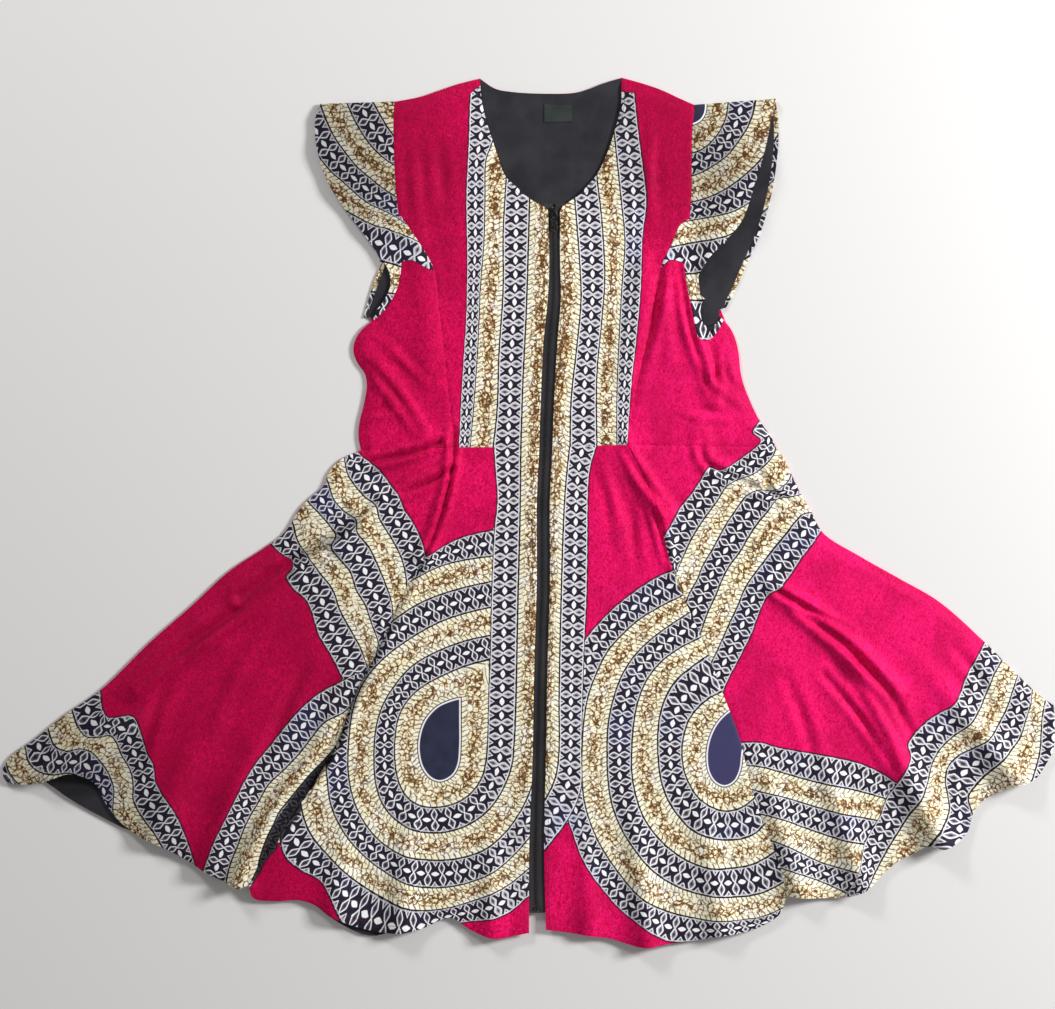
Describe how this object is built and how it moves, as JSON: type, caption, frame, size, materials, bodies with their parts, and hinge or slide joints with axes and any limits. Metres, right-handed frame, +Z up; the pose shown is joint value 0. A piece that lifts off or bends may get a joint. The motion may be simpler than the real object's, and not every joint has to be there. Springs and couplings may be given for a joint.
{
  "type": "wax print dress",
  "caption": "Knee-length flared dress laid flat, front up: V neck, flutter sleeves, fitted gored bodice and skirt in banded wax print, full-length front zip.",
  "frame": {"origin": "middle of the bounding box in plan, at the underside of the back panels", "axes": "+Z up from the surface, out of the front of the dress; +Y from hem to neck; +X to the right as seen from above with the neck at the top"},
  "size_m": [1.2645, 1.0421, 0.0237],
  "materials": {
    "crimson_cotton": "plain crimson ground of a printed cotton, matt",
    "wax_print": "printed cotton in bands of gold crackle and navy chain on crimson, matt",
    "charcoal_lining": "charcoal lining cloth, matt",
    "zip_tape": "black woven zip tape",
    "zip_coil": "black nylon coil",
    "zip_metal": "black enamelled metal",
    "label_ribbon": "bare dark woven ribbon"
  },
  "bodies": {
    "dress": {"back_bodice": "crimson_cotton", "back_bodice_lining": "charcoal_lining", "back_skirt": "crimson_cotton", "back_skirt_lining": "charcoal_lining", "front_bodice_centre_left": "wax_print", "front_bodice_centre_right": "wax_print", "front_bodice_side_left": "crimson_cotton", "front_bodice_side_right": "crimson_cotton", "front_skirt_centre_left": "wax_print", "front_skirt_centre_right": "wax_print", "front_skirt_side_left": "crimson_cotton", "front_skirt_side_right": "crimson_cotton", "neck_label": "label_ribbon", "sleeve_left": "wax_print", "sleeve_lining_left": "charcoal_lining", "sleeve_lining_right": "charcoal_lining", "sleeve_right": "wax_print", "zip_bottom_stop": "zip_metal", "zip_coil": "zip_coil", "zip_slider": "zip_metal", "zip_tape_left": "zip_tape", "zip_tape_right": "zip_tape"},
    "pull_tab": {"zip_pull_tab": "zip_metal"}
  },
  "joints": [
    {"name": "pull_tab_hinge", "type": "hinge", "parent": "dress", "child": "pull_tab", "pos_m": [0.032, 0.358, 0.0095], "axis": [-1, 0, 0], "range_deg": [0, 170]}
  ]
}
